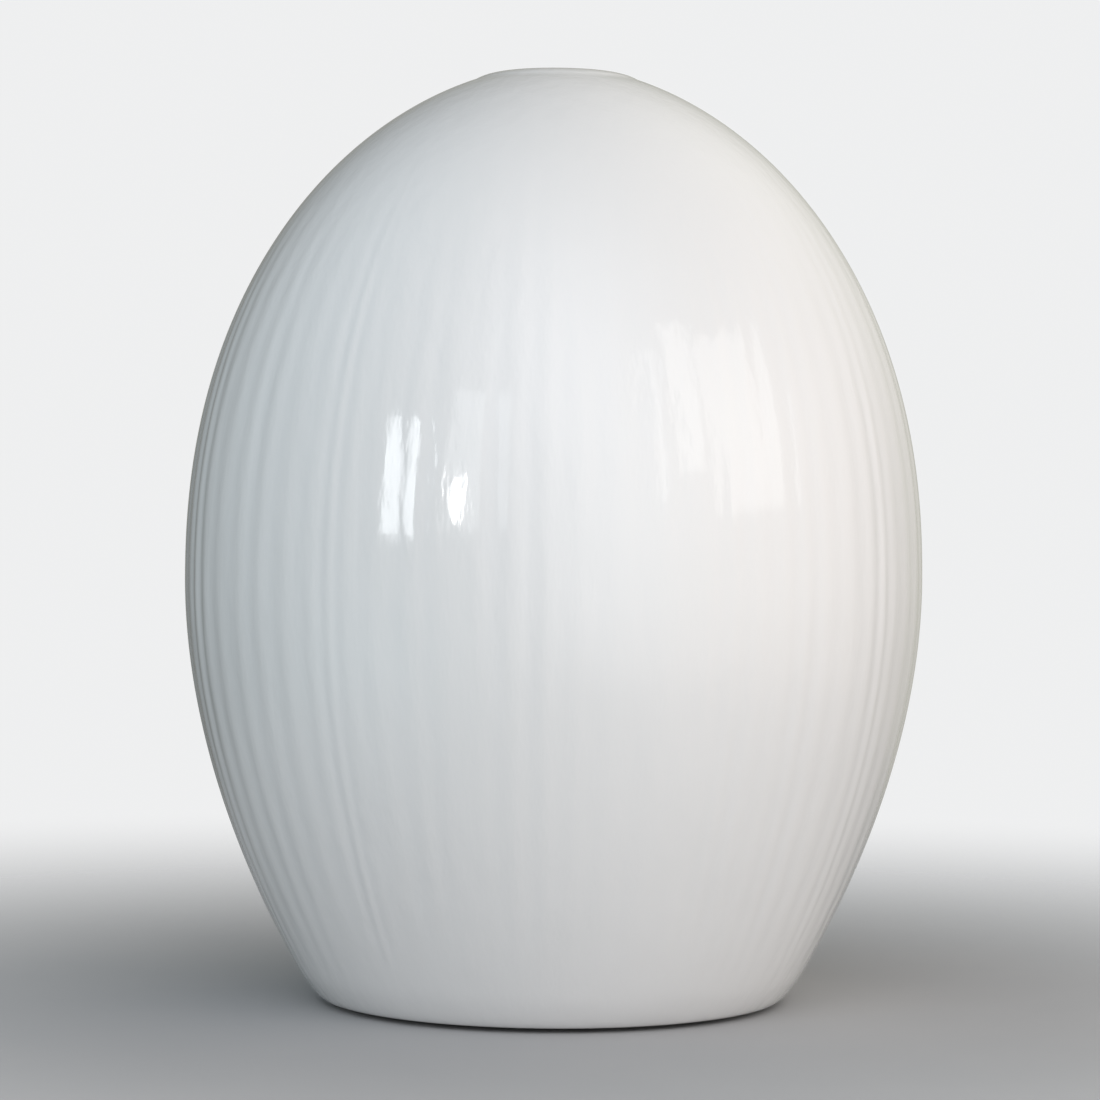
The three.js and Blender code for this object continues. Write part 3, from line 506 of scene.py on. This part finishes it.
# ---------------------------------------------------------------- foot ring
# A ring of soft grey rubber keeps the pan from sliding while the egg is twisted. It is moulded
# with rounded edges and two shallow grooves in its tread, and pressed on under the pan.

foot_inner, foot_outer = 11.8 * MM, 14.3 * MM
foot_top = 1.38 * MM
foot_bevel = 0.4 * MM
groove_mouth, groove_floor = 0.2 * MM, 0.12 * MM
groove_depth = 0.22 * MM
tread = []
for groove in (12.6 * MM, 13.4 * MM):
    tread += [
        (groove - groove_mouth, 0), (groove - groove_floor, groove_depth),
        (groove + groove_floor, groove_depth), (groove + groove_mouth, 0),
    ]
foot_outline = eased([
    (foot_inner, foot_top), (foot_inner, foot_bevel), (foot_inner + foot_bevel, 0), *tread,
    (foot_outer - foot_bevel, 0), (foot_outer, foot_bevel), (foot_outer, foot_top),
], 0.12 * MM)
foot_ring = set_down("rubber_foot", turned_mesh("rubber_foot", foot_outline, 160))
rubber = plastic(
    "foot_rubber_skin", (0.34, 0.335, 0.325, 1), (0.4, 0.395, 0.38, 1), 3200.0, 0.72, 0.9, 0.6,
)
foot_ring.data.materials.append(rubber)
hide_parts("foot_ring")
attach(foot_ring, "base")

# ---------------------------------------------------------------- base screws
# Three pan-head screws with cross recesses come up through the pan into the lower plate, and
# hold the works to the foot. They are bright turned steel.

head_low, head_high = 1.5 * MM, 2.35 * MM
head_radius = 1.65 * MM
shank_radius = 0.8 * MM
screw_tip = 7.2 * MM
arm_length, arm_width = 1.1 * MM, 0.225 * MM
recess_reach = 0.5 * MM
recess_taper = 0.7


def metal(name, dark, light, rough_low, rough_high, stretch, fineness, scratch):
    """Bare metal: faint cloudy toning, with fine lines left along the way it was worked."""
    material = bpy.data.materials.new(name)
    material.use_nodes = True
    body = material.node_tree.nodes["Principled BSDF"]
    body.inputs["Metallic"].default_value = 1.0
    place = add_node(material, "ShaderNodeTexCoord")
    pull = add_node(material, "ShaderNodeMapping")
    pull.inputs["Scale"].default_value = stretch
    cloud = add_node(material, "ShaderNodeTexNoise", inputs={"Scale": 90.0, "Detail": 4.0})
    lines = add_node(material, "ShaderNodeTexNoise", inputs={"Scale": fineness, "Detail": 5.0})
    tone = add_node(material, "ShaderNodeValToRGB")
    tone.color_ramp.elements[0].position = 0.3
    tone.color_ramp.elements[0].color = dark
    tone.color_ramp.elements[1].position = 0.7
    tone.color_ramp.elements[1].color = light
    dull = add_node(material, "ShaderNodeMapRange", inputs={3: rough_low, 4: rough_high})
    score = add_node(material, "ShaderNodeBump", inputs={"Strength": scratch, "Distance": 0.00002})
    wire(material, place.outputs["Object"], cloud.inputs["Vector"])
    wire(material, place.outputs["Object"], pull.inputs["Vector"])
    wire(material, pull.outputs["Vector"], lines.inputs["Vector"])
    wire(material, cloud.outputs["Fac"], tone.inputs["Fac"])
    wire(material, tone.outputs["Color"], body.inputs["Base Color"])
    wire(material, lines.outputs["Fac"], dull.inputs[0])
    wire(material, dull.outputs[0], body.inputs["Roughness"])
    wire(material, lines.outputs["Fac"], score.inputs["Height"])
    wire(material, score.outputs["Normal"], body.inputs["Normal"])
    return material


turned_steel = metal(
    "turned_steel", (0.5, 0.51, 0.52, 1), (0.62, 0.63, 0.64, 1), 0.2, 0.36, (1, 1, 14), 900.0, 0.3,
)
for number, angle in enumerate(screw_angles, 1):
    place = (screw_circle * math.cos(angle), screw_circle * math.sin(angle))
    screw_outline = eased([
        (0, screw_tip), (0, head_low), (head_radius, head_low), (head_radius, head_high),
        (shank_radius, head_high), (shank_radius, screw_tip),
    ], 0.22 * MM, 4)
    screw = set_down(f"pan_head_screw_{number}", turned_mesh("screw", screw_outline, 48, place))
    recesses = []
    for half_x, half_y in ((arm_length, arm_width), (arm_width, arm_length)):
        bar = bmesh.new()
        low, high = [], []
        for ring, share, height in (
            (low, 1, head_low - recess_reach), (high, recess_taper, head_low + recess_reach),
        ):
            for x, y in ((-1, -1), (1, -1), (1, 1), (-1, 1)):
                spot = (place[0] + share * x * half_x, place[1] + share * y * half_y, height)
                ring.append(bar.verts.new(spot))
        bar.faces.new(low[::-1])
        bar.faces.new(high)
        for corner in range(4):
            following = (corner + 1) % 4
            bar.faces.new((low[corner], low[following], high[following], high[corner]))
        bmesh.ops.recalc_face_normals(bar, faces=bar.faces)
        recess = bpy.data.meshes.new("recess")
        bar.to_mesh(recess)
        bar.free()
        recesses.append(recess)
    carve(screw, recesses)
    screw.data.shade_smooth()
    screw.data.set_sharp_from_angle(angle=math.radians(35))
    screw.data.materials.clear()
    screw.data.materials.append(turned_steel)
    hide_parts(f"base_screw_{number}")
    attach(screw, "base")

# ---------------------------------------------------------------- works
# The clockwork stands between two rolled brass plates on steel pillars. Wheels, bushes and nuts
# are brass, arbors, pinions and levers bright steel, and the springs and ratchet are blued.


def refinish(names, material):
    """Gives CAD parts that keep their shape a worked metal finish."""
    for name in names:
        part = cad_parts[name]
        part.data.materials.clear()
        part.data.materials.append(material)


rolled_brass = metal(
    "rolled_brass", (0.66, 0.47, 0.19, 1), (0.8, 0.6, 0.27, 1), 0.24, 0.42, (1, 12, 1), 500.0, 0.25,
)
blued_steel = metal(
    "blued_steel", (0.035, 0.05, 0.12, 1), (0.1, 0.08, 0.13, 1), 0.2, 0.38, (1, 1, 6), 700.0, 0.2,
)
refinish([
    "lower_plate", "upper_plate", "lower_bush", "upper_bush", "pillar_nut_1", "pillar_nut_2",
    "pillar_nut_3", "main_wheel", "second_wheel", "third_wheel", "escape_wheel", "inertia_bob",
    "hammer_head",
], rolled_brass)
refinish([
    "pillar_1", "pillar_2", "pillar_3", "spring_post", "stop_pin", "bell_post", "bell_nut",
    "main_arbor", "arbor_collar", "release_cam", "stop_arm", "click_post", "click",
    "second_arbor", "second_pinion", "strike_star", "third_arbor", "third_pinion",
    "escape_arbor", "escape_pinion", "anchor_arbor", "anchor", "hammer_arbor", "hammer_lever",
    "hammer_arm", "release_arbor", "release_lever",
], turned_steel)
refinish([
    "mainspring", "hammer_spring", "release_spring", "ratchet_wheel", "click_spring",
], blued_steel)

# ---------------------------------------------------------------- bell
# The bell is a dome pressed from thin steel, with a straight lip, then plated with nickel and
# polished. It sits on the post above the works, held by a steel nut.

bell_radius = 16.4 * MM
bell_wall = 0.8 * MM
bell_rim = 27 * MM
bell_shoulder = 37 * MM
bell_arc_foot = 31 * MM
bell_seat = 4.4 * MM
bell_outside = [(bell_radius, bell_rim)]
bell_inside = [(bell_radius - bell_wall, bell_rim)]
bell_hole = 2.8 * MM
bell_inner_seat = 4.2 * MM
bell_steps = 26
bell_tilt = 0.44 * math.pi
for step in range(bell_steps + 1):
    tilt = bell_tilt * step / bell_steps
    rise = bell_arc_foot + (bell_shoulder - bell_arc_foot) * math.sin(tilt) / math.sin(bell_tilt)
    radius = bell_seat + (bell_radius - bell_seat) * math.cos(tilt)
    bell_outside.append((radius, rise + bell_wall))
    bell_inside.append((max(radius - bell_wall, bell_inner_seat), rise))
bell_outline = [
    *bell_outside, (bell_hole, bell_shoulder + bell_wall), (bell_hole, bell_shoulder + 0.02 * MM),
    *reversed(bell_inside),
]
bell = set_down("pressed_bell", turned_mesh("pressed_bell", bell_outline, 128))
nickel = metal(
    "nickel_plate", (0.66, 0.645, 0.6, 1), (0.74, 0.725, 0.68, 1), 0.07, 0.16, (1, 1, 20), 260.0, 0.08,
)
bell.data.materials.append(nickel)
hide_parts("bell")
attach(bell, "base")

# ---------------------------------------------------------------- egg shell
# The shell is cast in one piece, fluted by hand from shoulder to foot and dipped in a thick
# white glaze that rounds every edge and lies a little deeper in the flutes. The whole shell is
# the timer's knob: it turns on the foot.

egg_radius = 29.75 * MM
egg_tall = 75 * MM
belly_height = 34 * MM
crown_reach = 41.5 * MM
crown_fullness, crown_power = 2.2, 0.54
flank_taper, flank_power = 0.0127 * MM, 1.9125
wall = 2.2 * MM
ceiling_height = 71.8 * MM
rim_height = 0.4 * MM
rim_radius = 18.6 * MM
mouth_radius = 17.6 * MM
mouth_height = 2.4 * MM
foot_bend_radius = 19.05 * MM
crown_edge_height = 74.3 * MM
crown_bend_radius = 5.5 * MM
flat_radius = 3.2 * MM
flute_count = 72
flute_depth = 0.085 * MM
flute_foot, flute_belly = 0.8 * MM, 13 * MM
flute_shoulder, flute_top = 46 * MM, 70 * MM
points_to_a_flute = 10
# Each wave is its number round the egg, its size and its start. The first set moves the flutes
# sideways, in radians, and the second makes some deeper than others.
wander_waves = ((5, 0.026, 1.0), (11, 0.016, 2.2), (19, 0.009, 0.4))
depth_waves = ((2, 0.22, 1.2), (7, 0.12, 0.8), (23, 0.1, 2.1))
mean_depth = 0.58
# The hand's pressure comes and goes down each flute, by this share and over this height.
press_share, press_height, press_step = 0.22, 7.5 * MM, 17
# One flute is nearly lost, at this angle and over this width.
lost_angle, lost_width, lost_share = 4.46, 0.06, 0.9


def flank(height):
    """The egg's outside radius below the belly, before the flutes are cut."""
    return egg_radius - flank_taper * ((belly_height - height) / MM) ** flank_power


def crown_curve(last_height, belly, reach, rows):
    """The egg closing in above the belly, a little more pointed than an ellipse."""
    points = []
    last = math.asin((last_height - belly_height) / reach)
    for row in range(rows + 1):
        rise = math.sin(last * row / rows)
        radius = belly * (1 - rise ** crown_fullness) ** crown_power
        points.append((radius, belly_height + reach * rise))
    return points


def quadratic(start, bend, end, steps):
    """Points of a rounded corner from start to end, both left out."""
    points = []
    for step in range(1, steps):
        share = step / steps
        near, far = (1 - share) ** 2, share ** 2
        across = 2 * share * (1 - share)
        points.append(tuple(near * a + across * b + far * c for a, b, c in zip(start, bend, end)))
    return points


def smooth(low, high, value):
    """Runs from 0 to 1 as the value passes from low to high, with no corner at either end."""
    share = min(1, max(0, (value - low) / (high - low)))
    return share * share * (3 - 2 * share)


flank_start = 2.6 * MM
outside = [(mouth_radius + 0.15 * MM, rim_height), (rim_radius, rim_height)]
foot_bend = (foot_bend_radius, rim_height)
outside += quadratic(outside[-1], foot_bend, (flank(flank_start), flank_start), 9)
flank_rows = 46
for row in range(flank_rows):
    height = flank_start + (belly_height - flank_start) * row / flank_rows
    outside.append((flank(height), height))
outside += crown_curve(crown_edge_height, egg_radius, crown_reach, 64)
outside += quadratic(outside[-1], (crown_bend_radius, egg_tall), (flat_radius, egg_tall), 12)
outside += [(flat_radius, egg_tall), (flat_radius / 2, egg_tall)]
inside = [(mouth_radius, rim_height + 0.15 * MM), (mouth_radius, mouth_height)]
inside += [(flank(height * MM) - wall, height * MM) for height in (4.5, 10, 16, 22, 28)]
inside += crown_curve(ceiling_height, egg_radius - wall, crown_reach - wall, 12)

shell_mesh = bpy.data.meshes.new("glazed_shell")
shell_sides = flute_count * points_to_a_flute
profile = list(reversed(outside)) + inside
fluted_rows = len(outside)
shell_points = [(0, 0, egg_tall)]
glaze_depths = [0.0]
for row, (radius, height) in enumerate(profile):
    full = smooth(flute_foot, flute_belly, height) * (1 - smooth(flute_shoulder, flute_top, height))
    if row >= fluted_rows:
        full = 0
    for side in range(shell_sides):
        turned = 2 * math.pi * side / shell_sides
        angle = turned
        for number, size, start in wander_waves:
            angle += size * math.sin(number * turned + start)
        uneven = mean_depth
        for number, size, start in depth_waves:
            uneven += size * math.sin(number * turned + start)
        uneven *= 1 - lost_share * math.exp(-((angle - lost_angle) / lost_width) ** 2)
        press = 1 + press_share * math.sin(height / press_height + press_step * turned)
        groove = 0.5 - 0.5 * math.cos(flute_count * turned)
        cut = flute_depth * uneven * press * groove * full
        around = radius - cut
        shell_points.append((around * math.cos(angle), around * math.sin(angle), height))
        glaze_depths.append(groove * uneven * full)
shell_points.append((0, 0, ceiling_height))
glaze_depths.append(0.0)
shell_faces = []
for side in range(shell_sides):
    following = (side + 1) % shell_sides
    shell_faces.append((0, 1 + side, 1 + following))
    last = 1 + (len(profile) - 1) * shell_sides
    shell_faces.append((len(shell_points) - 1, last + following, last + side))
    for row in range(len(profile) - 1):
        upper, lower = 1 + row * shell_sides, 1 + (row + 1) * shell_sides
        shell_faces.append((upper + side, lower + side, lower + following, upper + following))
shell_mesh.from_pydata(shell_points, [], shell_faces)
depth_layer = shell_mesh.attributes.new("glaze_depth", "FLOAT", "POINT")
depth_layer.data.foreach_set("value", glaze_depths)
shell_mesh.shade_smooth()
glazed_shell = bpy.data.objects.new("glazed_shell", shell_mesh)
bpy.context.scene.collection.objects.link(glazed_shell)

glaze = bpy.data.materials.new("white_glaze")
glaze.use_nodes = True
skin = glaze.node_tree.nodes["Principled BSDF"]
skin.inputs["IOR"].default_value = 1.5
skin.inputs["Coat Weight"].default_value = 0.6
skin.inputs["Coat Roughness"].default_value = 0.03
skin.inputs["Coat IOR"].default_value = 1.5
spot = add_node(glaze, "ShaderNodeTexCoord")
clouds = add_node(glaze, "ShaderNodeTexNoise", inputs={"Scale": 45.0, "Detail": 3.0, "Roughness": 0.5})
whites = add_node(glaze, "ShaderNodeValToRGB")
whites.color_ramp.elements[0].position = 0.3
whites.color_ramp.elements[0].color = (0.800, 0.800, 0.790, 1)
whites.color_ramp.elements[1].position = 0.7
whites.color_ramp.elements[1].color = (0.825, 0.822, 0.812, 1)
pooled = add_node(glaze, "ShaderNodeAttribute", attribute_name="glaze_depth")
pooling = add_node(glaze, "ShaderNodeMath", operation="MULTIPLY", inputs={1: 0.5})
deepened = add_node(glaze, "ShaderNodeMix", data_type="RGBA", blend_type="MULTIPLY")
deepened.inputs[7].default_value = (0.955, 0.965, 0.975, 1)
sheen = add_node(glaze, "ShaderNodeMapRange", inputs={3: 0.05, 4: 0.12})
drawn_down = add_node(glaze, "ShaderNodeMapping")
drawn_down.inputs["Scale"].default_value = (1, 1, 0.27)
ripple = add_node(glaze, "ShaderNodeTexNoise", inputs={"Scale": 560.0, "Detail": 3.0})
peel = add_node(glaze, "ShaderNodeBump", inputs={"Strength": 0.6, "Distance": 0.00013})
wire(glaze, spot.outputs["Object"], clouds.inputs["Vector"])
wire(glaze, spot.outputs["Object"], drawn_down.inputs["Vector"])
wire(glaze, drawn_down.outputs["Vector"], ripple.inputs["Vector"])
wire(glaze, clouds.outputs["Fac"], whites.inputs["Fac"])
wire(glaze, clouds.outputs["Fac"], sheen.inputs[0])
wire(glaze, pooled.outputs["Fac"], pooling.inputs[0])
wire(glaze, pooling.outputs[0], deepened.inputs[0])
wire(glaze, whites.outputs["Color"], deepened.inputs[6])
wire(glaze, deepened.outputs[2], skin.inputs["Base Color"])
wire(glaze, sheen.outputs[0], skin.inputs["Roughness"])
wire(glaze, ripple.outputs["Fac"], peel.inputs["Height"])
wire(glaze, peel.outputs["Normal"], skin.inputs["Normal"])
shell_mesh.materials.append(glaze)
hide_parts("egg_shell")
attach(glazed_shell, "egg")

# ---------------------------------------------------------------- drive column and index
# Up inside the crown a moulded column is bonded to the shell, and its socket drops over the
# square of the main arbor. A red enamel pip is let into the egg's rim as the index.

column_moulding = plastic(
    "column_moulding", (0.5, 0.495, 0.48, 1), (0.56, 0.555, 0.535, 1), 2200.0, 0.45, 0.6, 0.35,
)
refinish(["drive_column"], column_moulding)

pip_place = (18.15 * MM, 0)
pip_low, pip_high = 0.3 * MM, 1.7 * MM
pip_radius = 0.35 * MM
pip_outline = eased([
    (0, pip_high), (0, pip_low), (pip_radius, pip_low), (pip_radius, pip_high),
], 0.12 * MM, 4)
index_pip = set_down("index_dot", turned_mesh("index_dot", pip_outline, 32, pip_place))
enamel = plastic(
    "red_enamel", (0.4, 0.03, 0.02, 1), (0.48, 0.045, 0.028, 1), 1800.0, 0.18, 0.3, 0.1,
)
index_pip.data.materials.append(enamel)
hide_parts("index_pip")
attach(index_pip, "egg")
